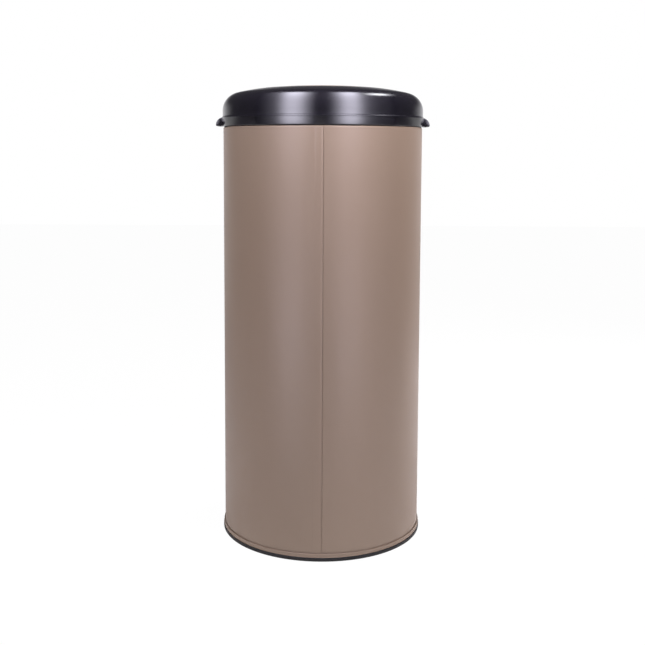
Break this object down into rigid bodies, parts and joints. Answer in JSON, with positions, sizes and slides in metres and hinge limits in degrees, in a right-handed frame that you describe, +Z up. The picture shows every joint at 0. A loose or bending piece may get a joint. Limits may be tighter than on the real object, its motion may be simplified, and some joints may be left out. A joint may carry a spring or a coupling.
{
  "type": "kitchen trash can",
  "caption": "Tall round kitchen bin: seamed taupe steel can, black base ring, lift-off domed black head with side grips, bag ring and a sprung push-to-open flap with damper and latch.",
  "frame": {"origin": "on the floor at the centre of the base ring", "axes": "+Z up the body axis, +Y towards the latch at the front of the flap, -Y towards the hinge and the lock seam, X through the two side grips"},
  "size_m": [0.3226, 0.3066, 0.6779],
  "materials": {
    "taupe_steel": "satin",
    "black_satin": "satin",
    "black_matt": "matt",
    "zinc_steel": "satin",
    "pale_nylon": "satin"
  },
  "bodies": {
    "can": {"body_shell": "taupe_steel", "bottom_plate": "taupe_steel", "base_ring": "black_matt"},
    "bag_ring": {"bag_ring": "black_matt"},
    "head": {"collar": "black_satin", "rim_ring": "black_matt", "seat_ring": "black_matt", "throat_ring": "black_matt", "hinge_bracket": "black_matt", "hinge_pin": "zinc_steel", "pin_clips": "zinc_steel", "opening_springs": "zinc_steel", "damper_housing": "black_matt", "damper_screws": "zinc_steel", "head_screws": "zinc_steel", "latch_housing": "black_matt", "latch_spring": "zinc_steel"},
    "damper_pinion": {"damper_pinion": "pale_nylon"},
    "latch_plunger": {"latch_plunger": "pale_nylon"},
    "flap": {"flap_disc": "taupe_steel", "flap_liner": "black_matt", "hinge_arms": "black_matt", "sector_gear": "pale_nylon", "striker": "pale_nylon", "flap_screws": "zinc_steel"}
  },
  "joints": [
    {"name": "bag_ring_lift", "type": "slide", "parent": "can", "child": "bag_ring", "axis": [0, 0, 1], "range_m": [0, 0.12]},
    {"name": "head_lift", "type": "slide", "parent": "bag_ring", "child": "head", "axis": [0, 0, 1], "range_m": [0, 0.2]},
    {"name": "flap_hinge", "type": "hinge", "parent": "head", "child": "flap", "pos_m": [0, -0.1113, 0.65816], "axis": [1, 0, 0], "range_deg": [-0.6, 80], "stiffness_Nm_per_rad": 0.18, "springref_deg": 79.98, "deforming": ["opening_springs"]},
    {"name": "damper_spin", "type": "hinge", "parent": "head", "child": "damper_pinion", "pos_m": [0.03, -0.1113, 0.63886], "axis": [1, 0, 0], "range_deg": [-241, 2.5]},
    {"name": "latch_slide", "type": "slide", "parent": "head", "child": "latch_plunger", "axis": [0, 0, 1], "range_m": [0, 0.0045], "deforming": ["latch_spring"]}
  ],
  "couplings": [
    {"joint": "damper_spin", "follows": "flap_hinge", "ratio": -3}
  ]
}
